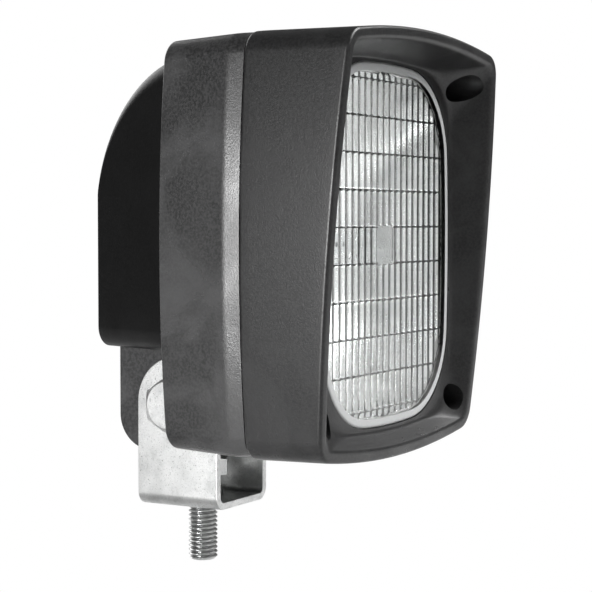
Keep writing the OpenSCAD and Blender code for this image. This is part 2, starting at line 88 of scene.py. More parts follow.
# The studio is dim for diffuse light, a little brighter in gloss and brighter
# still behind glass; the camera itself sees it white.
dim_diffuse, dim_gloss, behind_glass = 0.04, 0.10, 0.95
world = bpy.data.worlds.new("studio")
bpy.context.scene.world = world
world.use_nodes = True
nt = world.node_tree
nt.nodes.clear()
out = nt.nodes.new("ShaderNodeOutputWorld")
mix = nt.nodes.new("ShaderNodeMixShader")
path = nt.nodes.new("ShaderNodeLightPath")
dim = nt.nodes.new("ShaderNodeBackground")
dim.inputs["Color"].default_value = (1, 1, 1, 1)
shine = nt.nodes.new("ShaderNodeMapRange")
shine.inputs["To Min"].default_value = dim_diffuse
shine.inputs["To Max"].default_value = dim_gloss
nt.links.new(path.outputs["Is Glossy Ray"], shine.inputs["Value"])
through = nt.nodes.new("ShaderNodeMath")
through.operation = "MINIMUM"
through.inputs[1].default_value = behind_glass
nt.links.new(path.outputs["Transmission Depth"], through.inputs[0])
both = nt.nodes.new("ShaderNodeMath")
nt.links.new(shine.outputs["Result"], both.inputs[0])
nt.links.new(through.outputs[0], both.inputs[1])
nt.links.new(both.outputs[0], dim.inputs["Strength"])
pale = nt.nodes.new("ShaderNodeBackground")
pale.inputs["Color"].default_value = (1, 1, 1, 1)
pale.inputs["Strength"].default_value = 1.0
nt.links.new(path.outputs["Is Camera Ray"], mix.inputs["Fac"])
nt.links.new(dim.outputs[0], mix.inputs[1])
nt.links.new(pale.outputs[0], mix.inputs[2])
nt.links.new(mix.outputs[0], out.inputs["Surface"])

scene = bpy.context.scene
scene.view_settings.view_transform = "Standard"
scene.view_settings.look = "None"
scene.view_settings.exposure = 0.0


def link(name, mesh):
    obj = bpy.data.objects.new(name, mesh)
    bpy.context.scene.collection.objects.link(obj)
    return obj


floor_radius, floor_drop = 6.0, 30 * MM
floor_mesh = bpy.data.meshes.new("floor")
bm = bmesh.new()
bmesh.ops.create_circle(bm, cap_ends=True, segments=96, radius=floor_radius)
bm.to_mesh(floor_mesh)
bm.free()
floor = link("floor", floor_mesh)
floor.location.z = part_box("mounting_bolt")[0].z - floor_drop
floor_paint = bpy.data.materials.new("floor_paint")
floor_paint.use_nodes = True
nt = floor_paint.node_tree
paint = nt.nodes["Principled BSDF"]
paint.inputs["Base Color"].default_value = (0.60, 0.60, 0.60, 1)
paint.inputs["Roughness"].default_value = 0.9
paint.inputs["Emission Color"].default_value = (1, 1, 1, 1)
paint.inputs["Emission Strength"].default_value = 0.10
path = nt.nodes.new("ShaderNodeLightPath")
glow = nt.nodes.new("ShaderNodeEmission")
mix = nt.nodes.new("ShaderNodeMixShader")
nt.links.new(path.outputs["Is Camera Ray"], mix.inputs["Fac"])
nt.links.new(paint.outputs["BSDF"], mix.inputs[1])
nt.links.new(glow.outputs["Emission"], mix.inputs[2])
nt.links.new(mix.outputs["Shader"], nt.nodes["Material Output"].inputs["Surface"])
floor_mesh.materials.append(floor_paint)


# ---- Bracket ---------------------------------------------------------------
# A strip of steel sheet bent to a U, with a tapped collar in its base and a
# hole in each ear.  It is plated bright with zinc after bending.

def new_group(name, inputs, outputs):
    """An effect that several finishes share, with its named sockets."""
    group = bpy.data.node_groups.new(name, "ShaderNodeTree")
    for label, kind, value in inputs:
        socket = group.interface.new_socket(label, in_out="INPUT", socket_type=kind)
        socket.default_value = value
    for label, kind in outputs:
        group.interface.new_socket(label, in_out="OUTPUT", socket_type=kind)
    return group, group.nodes.new("NodeGroupInput"), group.nodes.new("NodeGroupOutput")


def node(tree, kind, **sockets):
    made = tree.nodes.new("ShaderNode" + kind)
    for label, value in sockets.items():
        made.inputs[label.replace("_", " ")].default_value = value
    return made


def math_node(tree, operation, a, b=None, clamp=False):
    made = tree.nodes.new("ShaderNodeMath")
    made.operation = operation
    made.use_clamp = clamp
    for i, value in enumerate((a, b)):
        if value is None:
            continue
        if isinstance(value, (int, float)):
            made.inputs[i].default_value = value
        else:
            tree.links.new(value, made.inputs[i])
    return made.outputs[0]


def ramp(tree, value, low, high):
    """Soft step of a value from 0 at low to 1 at high."""
    made = tree.nodes.new("ShaderNodeMapRange")
    made.interpolation_type = "SMOOTHSTEP"
    made.inputs["From Min"].default_value = low
    made.inputs["From Max"].default_value = high
    tree.links.new(value, made.inputs["Value"])
    return made.outputs["Result"]


def use(tree, group, **values):
    """Places a shared effect in a finish, with the finish's own values."""
    made = tree.nodes.new("ShaderNodeGroup")
    made.node_tree = group
    for label, value in values.items():
        made.inputs[label].default_value = value
    return made


def blend_colour(tree, mask, low, high):
    made = tree.nodes.new("ShaderNodeMix")
    made.data_type = "RGBA"
    tree.links.new(mask, made.inputs["Factor"])
    for socket, value in ((made.inputs[6], low), (made.inputs[7], high)):
        if isinstance(value, tuple):
            socket.default_value = (*value, 1)
        else:
            tree.links.new(value, socket)
    return made.outputs[2]


def blend_value(tree, mask, low, high):
    made = tree.nodes.new("ShaderNodeMapRange")
    made.inputs["To Min"].default_value = low
    made.inputs["To Max"].default_value = high
    tree.links.new(mask, made.inputs["Value"])
    return made.outputs["Result"]


def bump(tree, shader, height, strength, distance):
    made = node(tree, "Bump", Strength=strength, Distance=distance)
    tree.links.new(height, made.inputs["Height"])
    tree.links.new(made.outputs["Normal"], shader.inputs["Normal"])


def new_material(name):
    material = bpy.data.materials.new(name)
    material.use_nodes = True
    return material, material.node_tree, material.node_tree.nodes["Principled BSDF"]


# Worn convex edges: the surface's own curvature, broken up by noise.
wear, w_in, w_out = new_group("edge_wear",
                              [("Start", "NodeSocketFloat", 0.53), ("End", "NodeSocketFloat", 0.62)],
                              [("Mask", "NodeSocketFloat")])
shape = node(wear, "NewGeometry")
place = node(wear, "TexCoord")
chips = node(wear, "TexNoise", Scale=420.0, Detail=3.0)
wear.links.new(place.outputs["Object"], chips.inputs["Vector"])
span = wear.nodes.new("ShaderNodeMapRange")
wear.links.new(shape.outputs["Pointiness"], span.inputs["Value"])
wear.links.new(w_in.outputs["Start"], span.inputs["From Min"])
wear.links.new(w_in.outputs["End"], span.inputs["From Max"])
broken = ramp(wear, chips.outputs["Fac"], 0.35, 0.6)
wear.links.new(math_node(wear, "MULTIPLY", span.outputs["Result"], broken, True), w_out.inputs["Mask"])

zinc, tree, shader = new_material("zinc_plate")
place = node(tree, "TexCoord")
mill = node(tree, "TexNoise", Scale=1300.0, Detail=4.0, Roughness=0.75)
stain = node(tree, "TexNoise", Scale=85.0, Detail=6.0, Roughness=0.65)
tree.links.new(place.outputs["Object"], mill.inputs["Vector"])
tree.links.new(place.outputs["Object"], stain.inputs["Vector"])
edges = use(tree, wear, Start=0.54, End=0.66)
# Painted shade: ambient occlusion darkens creases, and the gaps round heads and nuts, towards near-black.
crease_shade_ao = node(tree, "AmbientOcclusion", Distance=0.0012)
plated = blend_colour(tree, ramp(tree, stain.outputs["Fac"], 0.38, 0.72),
                      (0.86, 0.865, 0.86), (0.58, 0.59, 0.585))
flecked = blend_colour(tree, ramp(tree, mill.outputs["Fac"], 0.52, 0.70), plated, (0.55, 0.555, 0.55))
bright = blend_colour(tree, edges.outputs["Mask"], flecked, (0.92, 0.93, 0.93))
free_of_painted_shade = ramp(tree, crease_shade_ao.outputs["AO"], 0.25, 0.85)
tree.links.new(blend_colour(tree, free_of_painted_shade, (0.10, 0.10, 0.10), bright), shader.inputs["Base Color"])
shader.inputs["Metallic"].default_value = 1.0
tree.links.new(blend_value(tree, ramp(tree, mill.outputs["Fac"], 0.3, 0.7), 0.26, 0.42),
               shader.inputs["Roughness"])
bump(tree, shader, mill.outputs["Fac"], 0.5, 0.00010)


def apply_modifiers(obj):
    """Turns what a piece's modifiers make of it into its own mesh."""
    dg = bpy.context.evaluated_depsgraph_get()
    mesh = bpy.data.meshes.new_from_object(obj.evaluated_get(dg))
    old = obj.data
    obj.modifiers.clear()
    obj.data = mesh
    bpy.data.meshes.remove(old)


def soften_edges(obj, width, segments=2, angle=32):
    """Rounds every edge that is sharper than the angle."""
    bm = bmesh.new()
    bm.from_mesh(obj.data)
    bmesh.ops.remove_doubles(bm, verts=bm.verts, dist=2e-6)
    bmesh.ops.dissolve_limit(bm, angle_limit=radians(0.6), verts=bm.verts, edges=bm.edges)
    bm.to_mesh(obj.data)
    bm.free()
    mod = obj.modifiers.new("soften", "BEVEL")
    mod.width = width
    mod.segments = segments
    mod.limit_method = "ANGLE"
    mod.angle_limit = radians(angle)
    mod.miter_outer = "MITER_ARC"
    mod.harden_normals = False
    apply_modifiers(obj)


def shade(obj, angle=32):
    """Smooth shading with hard edges where faces meet at more than the angle."""
    bm = bmesh.new()
    bm.from_mesh(obj.data)
    for face in bm.faces:
        face.smooth = True
    for edge in bm.edges:
        edge.smooth = edge.is_manifold and edge.calc_face_angle(0) < radians(angle)
    bm.to_mesh(obj.data)
    bm.free()


def finish_piece(obj, material, body, nodes, angle=32):
    """Gives a new piece its finish, its body and the nodes that it replaces."""
    if obj.data.materials:
        obj.data.materials.clear()
    obj.data.materials.append(material)
    shade(obj, angle)
    mod = obj.modifiers.new("normals", "WEIGHTED_NORMAL")
    mod.keep_sharp = True
    apply_modifiers(obj)
    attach(obj, body)
    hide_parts(*nodes)


def softened_copy(name, source, width, segments=2, angle=32):
    """A new piece with the shape of a node and its sharp edges broken."""
    obj = link(name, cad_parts[source].data.copy())
    soften_edges(obj, width, segments, angle)
    return obj


finish_piece(softened_copy("bracket_strip", "bracket", 0.35 * MM), zinc, "yoke",
             ["bracket"])


# ---- Mounting bolt -----------------------------------------------------------
# A 10 mm hexagon bolt screwed down through the bracket's collar.  It is cold
# headed, its thread is rolled, and it is plated like the bracket.

def lathe_along(name, levels, radius_at, steps=72, turn=None):
    """Round piece along +Z: a radius for each angle and level, closed at both ends."""
    bm = bmesh.new()
    rows = []
    for level in levels:
        rows.append([bm.verts.new((radius_at(2 * pi * i / steps, level) * cos(2 * pi * i / steps),
                                   radius_at(2 * pi * i / steps, level) * sin(2 * pi * i / steps),
                                   level)) for i in range(steps)])
    for low, high in zip(rows, rows[1:]):
        for i in range(steps):
            j = (i + 1) % steps
            bm.faces.new((low[i], low[j], high[j], high[i]))
    bm.faces.new(rows[0][::-1])
    bm.faces.new(rows[-1])
    mesh = bpy.data.meshes.new(name)
    bm.to_mesh(mesh)
    bm.free()
    if turn is not None:
        mesh.transform(turn)
    return mesh


thread_pitch = 1.5 * MM
thread_depth = 0.92 * MM
bolt_r, across, head_h = 5 * MM, 17 * MM, 6.4 * MM


def threaded(start, chamfer=1.0 * MM):
    """Radius of a rolled thread whose chamfered tip is at start."""
    def radius(angle, z):
        phase = (z / thread_pitch - angle / (2 * pi)) % 1.0
        ridge = min(1.0, max(0.0, 1.18 - abs(2 * phase - 1) * 1.36))
        r = bolt_r - thread_depth * (1 - ridge)
        return min(r, bolt_r - chamfer + max(0.0, z - start) * 1.1)
    return radius


def hex_radius(angle, z, low, high, chamfer=1.1 * MM):
    """Radius of a hexagon head whose top is turned to a cone."""
    wedge = (angle + pi / 6) % (pi / 3) - pi / 6
    flat = across / 2 / cos(wedge)
    corner = across / 2 / cos(pi / 6)
    cone_top = corner - max(0.0, z - (high - chamfer)) * 1.75
    cone_low = corner - max(0.0, (low + 0.25 * MM) - z) * 1.2
    return min(flat, cone_top, cone_low)


def steps_between(a, b, n):
    """n even levels from a up to, but without, b."""
    return [a + (b - a) * i / n for i in range(n)]


def hex_bolt(name, tip, under_head, top, turn=None):
    """Bolt along +Z with its tip low and its head high."""
    thread = threaded(tip)
    levels = steps_between(tip, under_head, int((under_head - tip) / thread_pitch * 10))
    eps = 0.002 * MM
    body_levels = levels + [under_head - eps]
    head_levels = [under_head, under_head + 0.12 * MM, under_head + 0.25 * MM]
    head_levels += steps_between(under_head + 1 * MM, top - 1.1 * MM, 4)
    head_levels += steps_between(top - 1.1 * MM, top, 7) + [top - 0.05 * MM, top]

    def radius(angle, z):
        if z < under_head:
            return thread(angle, z)
        if z >= top:
            return hex_radius(angle, top, under_head, top) - 0.25 * MM
        return hex_radius(angle, z, under_head, top)
    return link(name, lathe_along(name, body_levels + head_levels, radius, steps=96, turn=turn))


stud_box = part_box("mounting_bolt")
stud = hex_bolt("stud_bolt", stud_box[0].z, stud_box[1].z - head_h, stud_box[1].z)
finish_piece(stud, zinc, "stud", ["mounting_bolt"], angle=35)


# ---- Tilt bolt, washer, lock nut and sleeve ------------------------------------
# The bolt crosses both ears and the lug, with its head on the left.  A steel
# sleeve in the lug takes its clamping force, and a lock nut holds the tilt.

pivot_z = 35.5 * MM
bolt_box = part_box("pivot_bolt")
corner_up = Matrix.Rotation(pi / 6, 4, "Z")
to_left = Matrix.Translation((0, 0, pivot_z)) @ Matrix.Rotation(-pi / 2, 4, "Y") @ corner_up
tilt_bolt = hex_bolt("tilt_bolt", -bolt_box[1].x, -bolt_box[0].x - head_h, -bolt_box[0].x, to_left)
finish_piece(tilt_bolt, zinc, "yoke", ["pivot_bolt"], angle=35)
finish_piece(softened_copy("plain_washer", "pivot_washer", 0.25 * MM), zinc, "yoke",
             ["pivot_washer"])
finish_piece(softened_copy("lock_nut", "pivot_nut", 0.35 * MM, segments=3), zinc, "yoke",
             ["pivot_nut"])


def plain_finish(name, colour, metallic, rough, noise_scale, bump_strength):
    """Small-part finish: a colour that varies a little, and a fine bump."""
    material, tree, shader = new_material(name)
    place = node(tree, "TexCoord")
    spots = node(tree, "TexNoise", Scale=noise_scale, Detail=3.0)
    tree.links.new(place.outputs["Object"], spots.inputs["Vector"])
    edges = use(tree, wear, Start=0.54, End=0.66)
    base = blend_colour(tree, spots.outputs["Fac"], tuple(0.8 * c for c in colour),
                        tuple(min(1.0, 1.15 * c) for c in colour))
    tree.links.new(blend_colour(tree, math_node(tree, "MULTIPLY", edges.outputs["Mask"], 0.5), base,
                                tuple(min(1.0, 1.6 * c + 0.02) for c in colour)),
                   shader.inputs["Base Color"])
    shader.inputs["Metallic"].default_value = metallic
    tree.links.new(blend_value(tree, spots.outputs["Fac"], rough - 0.08, rough + 0.08),
                   shader.inputs["Roughness"])
    bump(tree, shader, spots.outputs["Fac"], bump_strength, 0.00005)
    return material


def dress(name, material):
    """Puts a finish on a CAD node whose shape already is right."""
    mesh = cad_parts[name].data
    mesh.materials.clear()
    mesh.materials.append(material)


steel = plain_finish("plain_steel", (0.52, 0.53, 0.54), 1.0, 0.38, 500.0, 0.2)
dress("pivot_sleeve", steel)


# ---- Rear housing -------------------------------------------------------------
# A moulding in glass-filled nylon: the tapered box with its domed top, the
# plate that closes the band, and the thick lug that hangs between the ears.

# Fine grain: a height for the bump and a speckle for the colour.
grain, g_in, g_out = new_group("moulded_grain",
                               [("Scale", "NodeSocketFloat", 3000.0)],
                               [("Height", "NodeSocketFloat"), ("Speckle", "NodeSocketFloat")])
place = node(grain, "TexCoord")
cells = node(grain, "TexVoronoi")
cells.feature = "F1"
fine = node(grain, "TexNoise", Detail=3.0, Roughness=0.6)
grain.links.new(place.outputs["Object"], cells.inputs["Vector"])
grain.links.new(place.outputs["Object"], fine.inputs["Vector"])
grain.links.new(g_in.outputs["Scale"], cells.inputs["Scale"])
grain.links.new(math_node(grain, "MULTIPLY", g_in.outputs["Scale"], 0.55), fine.inputs["Scale"])
pits = math_node(grain, "MULTIPLY", cells.outputs["Distance"], 0.6)
grain.links.new(math_node(grain, "ADD", pits, fine.outputs["Fac"]), g_out.inputs["Height"])
grain.links.new(ramp(grain, fine.outputs["Fac"], 0.35, 0.65), g_out.inputs["Speckle"])

# Cloudy patches some 20 to 40 mm across.
clouds, c_in, c_out = new_group("handling_clouds",
                                [("Scale", "NodeSocketFloat", 32.0)],
                                [("Mask", "NodeSocketFloat")])
place = node(clouds, "TexCoord")
blur = node(clouds, "TexNoise", Detail=5.0, Roughness=0.6, Distortion=0.6)
clouds.links.new(place.outputs["Object"], blur.inputs["Vector"])
clouds.links.new(c_in.outputs["Scale"], blur.inputs["Scale"])
clouds.links.new(ramp(clouds, blur.outputs["Fac"], 0.42, 0.70), c_out.inputs["Mask"])


def moulded_plastic(name, dark, light, rough, gloss, grain_scale, depth):
    """Nylon with a spark-eroded grain, polished in patches and worn at its edges."""
    material, tree, shader = new_material(name)
    texture = use(tree, grain, Scale=grain_scale)
    patches = use(tree, clouds)
    edges = use(tree, wear)
    mottle = blend_colour(tree, texture.outputs["Speckle"], dark, light)
    handled = blend_colour(tree, math_node(tree, "MULTIPLY", patches.outputs["Mask"], 0.8),
                           mottle, tuple(1.9 * c for c in light))
    tree.links.new(blend_colour(tree, math_node(tree, "MULTIPLY", edges.outputs["Mask"], 0.5),
                                handled, tuple(2.4 * c for c in light)), shader.inputs["Base Color"])
    polish = math_node(tree, "MAXIMUM", patches.outputs["Mask"], edges.outputs["Mask"])
    tree.links.new(blend_value(tree, polish, rough, rough - 0.10), shader.inputs["Roughness"])
    shader.inputs["Specular IOR Level"].default_value = gloss
    bump(tree, shader, texture.outputs["Height"], 0.35, depth)
    return material


housing_plastic = moulded_plastic("housing_plastic", (0.0018, 0.0018, 0.0019), (0.004, 0.004, 0.0041),
                                  0.42, 0.18, 2200.0, 0.00009)
# A lighter copy of the same nylon for the lug: painted light, as the lug catches more light than the box
# above it.
lug_painted_light_plastic = moulded_plastic("lug_painted_light_plastic", (0.018, 0.018, 0.0185), (0.050, 0.050, 0.051),
                              0.52, 0.40, 1500.0, 0.00016)

body_w, body_h = 116 * MM, 138 * MM
frame_d, hood_d = 30.5 * MM, 31.5 * MM
rear_taper_w, rear_taper_h = 2.2 * MM, 1.4 * MM
front_flare_w, front_taper_h = 0.7 * MM, 0.6 * MM
corner_r = 8 * MM
side_crown, top_crown = radians(6.3), radians(8.2)
mid_z = 89.5 * MM
seam_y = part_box("hood")[1].y
rear_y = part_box("side_frame")[1].y
screw_x, screw_z = body_w / 2 - 11.8 * MM, body_h / 2 - 15.5 * MM


def crowned(hw, hh, r, a=side_crown, b=top_crown, side=14, arc=12):
    """Rounded rectangle with crowned sides, counter-clockwise seen from the front."""
    ta, tb = tan(a) / 2, tan(b) / 2
    p = hw - r * cos(a) - r * sin(a) * ta
    q = hh - r * cos(b) - r * sin(b) * tb
    px = (p - q * ta) / (1 - ta * tb)
    pz = q - px * tb
    ze, xe = pz + r * sin(a), px + r * sin(b)
    quarter = [(hw - ta * (ze * i / side) ** 2 / ze, ze * i / side) for i in range(side + 1)]
    for i in range(1, arc + 1):
        w = a + (pi / 2 - a - b) * i / arc
        quarter.append((px + r * cos(w), pz + r * sin(w)))
    for i in range(1, side + 1):
        x = xe * (1 - i / side)
        quarter.append((x, hh - tb * x * x / xe))
    n = len(quarter)
    return (quarter + [(-x, z) for x, z in quarter[n - 2::-1]]
            + [(-x, -z) for x, z in quarter[1:]] + [(x, -z) for x, z in quarter[n - 2:0:-1]])


def body_line(y, inset=0.0, radius=None):
    """The body's outline at depth y, drawn in by inset."""
    ahead = seam_y - y
    if ahead < 0:
        hw = body_w / 2 + rear_taper_w * ahead / frame_d
        hh = body_h / 2 + rear_taper_h * ahead / frame_d
    else:
        hw = body_w / 2 + front_flare_w * ahead / hood_d
        hh = body_h / 2 - front_taper_h * ahead / hood_d
    r = max(corner_r - inset, 1.5 * MM) if radius is None else radius
    return crowned(hw - inset, hh - inset, r)


def stood(line, y, lean=0.0):
    """An outline set upright at depth y, its top leaning forward."""
    return [Vector((x, y - z * tan(lean), mid_z + z)) for x, z in line]


def curve_rings(a, c, b, steps=5):
    """Rings of a rounded edge that leaves ring a, bends at ring c and ends on ring b."""
    rings = []
    for s in range(steps + 1):
        t = s / steps
        rings.append([(1 - t) ** 2 * p + 2 * t * (1 - t) * q + t * t * r for p, q, r in zip(a, c, b)])
    return rings


def rings_to_mesh(name, rings, closed=True, caps=False):
    """Skin over rings of equal length, from the rear forward up the outside."""
    bm = bmesh.new()
    rows = [[bm.verts.new(p) for p in ring] for ring in rings]
    n = len(rows[0])
    last = len(rows) if closed else len(rows) - 1
    for k in range(last):
        near, far = rows[k], rows[(k + 1) % len(rows)]
        for i in range(n):
            j = (i + 1) % n
            bm.faces.new((near[i], near[j], far[j], far[i]))
    if caps:
        bm.faces.new(rows[0][::-1])
        bm.faces.new(rows[-1])
    bmesh.ops.recalc_face_normals(bm, faces=bm.faces)
    mesh = bpy.data.meshes.new(name)
    bm.to_mesh(mesh)
    bm.free()
    return mesh


def round_bar(name, x, z, radius, y0, y1, steps=48):
    """Cylinder along Y between two depths, as a cutter or a boss."""
    ring = [(radius * cos(2 * pi * i / steps), radius * sin(2 * pi * i / steps)) for i in range(steps)]
    rings = [[Vector((x + a, y, z + b)) for a, b in ring] for y in (y0, y1)]
    return link(name, rings_to_mesh(name, rings, closed=False, caps=True))


def carve(obj, tool, operation="DIFFERENCE"):
    """Cuts a tool's shape out of a piece, or joins it on, and drops the tool."""
    mod = obj.modifiers.new("carve", "BOOLEAN")
    mod.operation = operation
    mod.solver = "EXACT"
    mod.object = tool
    apply_modifiers(obj)
    bpy.data.objects.remove(tool)


def each_screw():
    """Places of the four long screws, seen from the front."""
    return [(sx * screw_x, mid_z + sz * screw_z) for sx in (-1, 1) for sz in (-1, 1)]


box_front_hw, box_rear_hw = 40 * MM, 25.5 * MM
box_rear_y, box_floor = 26 * MM, 54.5 * MM
box_mid_z, box_rise, box_r = 104 * MM, 47 * MM, 7 * MM
box_wall, rear_edge = 2.6 * MM, 1.6 * MM
plate_y = rear_y - 2 * MM
plate_front_y = rear_y - 5 * MM
plate_inset = 3.1 * MM
web_y = plate_front_y - 9.5 * MM


def box_ring(y, inset=0.0, steps=10, sides=10):
    """The box's outline at depth y: narrower and lower towards the rear."""
    hw = box_front_hw + (box_rear_hw - box_front_hw) * (y - rear_y) / (box_rear_y - rear_y)
    u = (y - rear_y) / (box_rear_y - rear_y + 0.6 * MM)
    top = box_mid_z + box_rise * sqrt(max(0.0, 1 - u * u))
    hw, hi, lo, r = hw - inset, top - inset, box_floor + inset, max(box_r - inset, 2 * MM)
    corners = [(hw - r, hi - r, 0), (-hw + r, hi - r, 90), (-hw + r, lo + r, 180), (hw - r, lo + r, 270)]
    points = []
    for k, (cx, cz, start) in enumerate(corners):
        arc = [(cx + r * cos(radians(start + 90 * i / steps)),
                cz + r * sin(radians(start + 90 * i / steps))) for i in range(steps + 1)]
        nx, nz, after = corners[(k + 1) % 4]
        head = (nx + r * cos(radians(after)), nz + r * sin(radians(after)))
        points += arc
        points += [(arc[-1][0] + (head[0] - arc[-1][0]) * i / sides,
                    arc[-1][1] + (head[1] - arc[-1][1]) * i / sides) for i in range(1, sides)]
    return [Vector((x, y, z)) for x, z in points]


# The rings crowd together towards the rear, where the dome turns fastest.
box_steps, crowding = 26, 1.9
depths = [box_rear_y + (plate_y - 1 * MM - box_rear_y) * (i / box_steps) ** crowding
          for i in range(box_steps + 1)]
outside = [box_ring(y) for y in depths[2:]]
rounded = curve_rings(box_ring(box_rear_y, rear_edge), box_ring(box_rear_y), outside[0], 5)
outer = rings_to_mesh("box_outer", rounded[:-1] + outside, closed=False, caps=True)
housing = link("housing_shell", outer)
hollow = [box_ring(y, box_wall) for y in [box_rear_y - box_wall - 0.2 * MM] + depths[6:-1]]
hollow += [box_ring(plate_y - 8 * MM, box_wall)]
plate = [stood(body_line(plate_y, plate_inset), y) for y in (plate_y, plate_front_y)]
carve(housing, link("plate", rings_to_mesh("plate", plate, closed=False, caps=True)), "UNION")

# The lug's side view: a rounded rear corner, an arc under the pivot that clears
# the mounting bolt's head, and a top sunk into the box.
lug_hw, lug_r, lug_edge = 13.5 * MM, 12 * MM, 1.4 * MM
arc_start, arc_turn = 64, 116
swing_r, bore_r = 17.4 * MM, 7 * MM
inlet_z, inlet_r = 78 * MM, 6.5 * MM
boss_r, insert_r = 3.9 * MM, 2.8 * MM
lug_points = []
corner_y, corner_z = box_rear_y - lug_r, pivot_z - 5 * MM
for i in range(19):
    w = -radians(90 * i / 18)
    lug_points.append((corner_y + lug_r * cos(w), corner_z + lug_r * sin(w)))
for i in range(25):
    w = -radians(arc_start + arc_turn * i / 24)
    lug_points.append((swing_r * cos(w), pivot_z + swing_r * sin(w)))
lug_points += [(-swing_r, box_floor + 2 * MM), (box_rear_y, box_floor + 2 * MM)]
sides = [[Vector((x, y, z)) for y, z in lug_points] for x in (-lug_hw, lug_hw)]
lug = link("lug", rings_to_mesh("lug", sides, closed=False, caps=True))
soften_edges(lug, lug_edge, segments=4, angle=50)
carve(housing, lug, "UNION")
carve(housing, link("hollow", rings_to_mesh("hollow", hollow, closed=False, caps=True)))
ring = [(bore_r * cos(2 * pi * i / 48), bore_r * sin(2 * pi * i / 48)) for i in range(48)]
bore = [[Vector((x, a, pivot_z + b)) for a, b in ring] for x in (-20 * MM, 20 * MM)]
carve(housing, link("bore", rings_to_mesh("bore", bore, closed=False, caps=True)))
for x, z in each_screw():
    carve(housing, round_bar("boss", x, z, boss_r, plate_front_y + 0.5 * MM, web_y), "UNION")
    carve(housing, round_bar("hole", x, z, insert_r, plate_front_y, web_y - 1 * MM))
carve(housing, round_bar("inlet", 0, inlet_z, inlet_r, box_rear_y + 2 * MM, box_rear_y - 8 * MM))
finish_piece(housing, housing_plastic, "lamp", ["rear_housing"], angle=30)
# The lug's faces below the box take the lighter copy: painted light on the one moulding.
housing.data.materials.append(lug_painted_light_plastic)
for face in housing.data.polygons:
    below_box = face.center.z < box_floor - 0.1 * MM
    face.material_index = 1 if below_box and face.center.y > plate_y + 1 * MM else 0


# ---- Housing gasket and thread inserts -------------------------------------------
# A black rubber seal lies between the housing's plate and the frame, and four
# brass inserts for the long screws are pressed into the housing's bosses.

rubber = plain_finish("seal_rubber", (0.030, 0.030, 0.031), 0.0, 0.75, 1500.0, 0.4)
brass = plain_finish("brass", (0.72, 0.52, 0.22), 1.0, 0.30, 500.0, 0.15)
dress("housing_gasket", rubber)
dress("thread_inserts", brass)


# ---- Side frame ---------------------------------------------------------------
# The band behind the hood, moulded in nylon.  Its edge rolls in towards the
# seam, and inside it a web carries the wall that the reflector rests on.

frame_plastic = moulded_plastic("frame_plastic", (0.015, 0.015, 0.0153), (0.048, 0.048, 0.0485),
                                0.34, 0.55, 2300.0, 0.00009)

shell_t, web_t = 2.8 * MM, 3 * MM
lens_w, lens_h, lens_r = 93 * MM, 117.5 * MM, 30 * MM
roll_d, roll_w = 1.15 * MM, 6.6 * MM
rear_r = 1.0 * MM
groove_y = seam_y + 0.55 * MM
groove_d = 2.6 * MM
rest_outer, rest_inner = 2.9 * MM, 0.9 * MM
frame_boss_r, screw_hole_r = 5 * MM, 2.25 * MM
flange_back_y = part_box("side_frame")[0].y


def lens_line(d=0.0):
    """The lens's visible outline, grown by d."""
    return crowned(lens_w / 2 + d, lens_h / 2 + d, lens_r + d, radians(3), radians(4))


def between(a, b, t):
    """A ring part of the way from ring a to ring b."""
    return [p.lerp(q, t) for p, q in zip(a, b)]


rings = curve_rings(stood(body_line(rear_y, rear_r), rear_y), stood(body_line(rear_y), rear_y),
                    stood(body_line(rear_y - rear_r), rear_y - rear_r))
roll_start = seam_y + roll_w
rings += [between(rings[-1], stood(body_line(roll_start), roll_start), t / 6) for t in range(1, 7)]
for s in range(1, 8):
    t = s / 7
    y = roll_start + (groove_y - roll_start) * t
    rings.append(stood(body_line(y, roll_d * max(0.0, t - 0.1) / 0.9), y))
rings += [stood(body_line(groove_y, groove_d), groove_y),
          stood(body_line(seam_y, groove_d), seam_y),
          stood(body_line(seam_y, shell_t), seam_y),
          stood(body_line(web_y - web_t, shell_t), web_y - web_t),
          stood(lens_line(rest_outer), web_y - web_t),
          stood(lens_line(rest_outer), flange_back_y),
          stood(lens_line(rest_inner), flange_back_y),
          stood(lens_line(rest_inner), web_y),
          stood(body_line(web_y, shell_t), web_y),
          stood(body_line(rear_y, shell_t), rear_y)]
band = link("side_band", rings_to_mesh("side_band", rings))
for x, z in each_screw():
    carve(band, round_bar("boss", x, z, frame_boss_r, web_y - 0.5 * MM, seam_y), "UNION")
    carve(band, round_bar("hole", x, z, screw_hole_r, web_y + 1 * MM, seam_y - 1 * MM))
finish_piece(band, frame_plastic, "lamp", ["side_frame"], angle=30)


# ---- Reflector ------------------------------------------------------------------
# A bowl deep drawn from steel sheet, lacquered and metallised inside.  Its
# flange is clamped between the frame's wall and the lens seal.

mirror, tree, shader = new_material("mirror_coat")
shader.inputs["Base Color"].default_value = (0.96, 0.96, 0.96, 1)
shader.inputs["Metallic"].default_value = 1.0
place = node(tree, "TexCoord")
haze = node(tree, "TexNoise", Scale=60.0, Detail=3.0)
tree.links.new(place.outputs["Object"], haze.inputs["Vector"])
tree.links.new(blend_value(tree, ramp(tree, haze.outputs["Fac"], 0.3, 0.7), 0.20, 0.32),
               shader.inputs["Roughness"])
bump(tree, shader, haze.outputs["Fac"], 0.10, 0.0006)

flange_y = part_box("reflector")[0].y
neck_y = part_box("reflector")[1].y
neck_r, sheet = 15 * MM, 1.5 * MM
mouth_y = flange_y + sheet
mouth_inset, flange_border, hole_r = 2.6 * MM, 2.6 * MM, 9.5 * MM
bowl_steps, bowl_power = 22, 1.6
inner_back = neck_y - sheet


def bowl_ring(u, d, y):
    """Ring of the bowl, from the round neck at u = 0 to the lens's outline at u = 1."""
    ring = []
    for x, z in lens_line(-mouth_inset + d):
        w = atan2(z, x)
        cx, cz = (neck_r + d) * cos(w), (neck_r + d) * sin(w)
        k = sqrt(u)
        ring.append(Vector((cx + (x - cx) * k, y, mid_z + cz + (z - cz) * k)))
    return ring


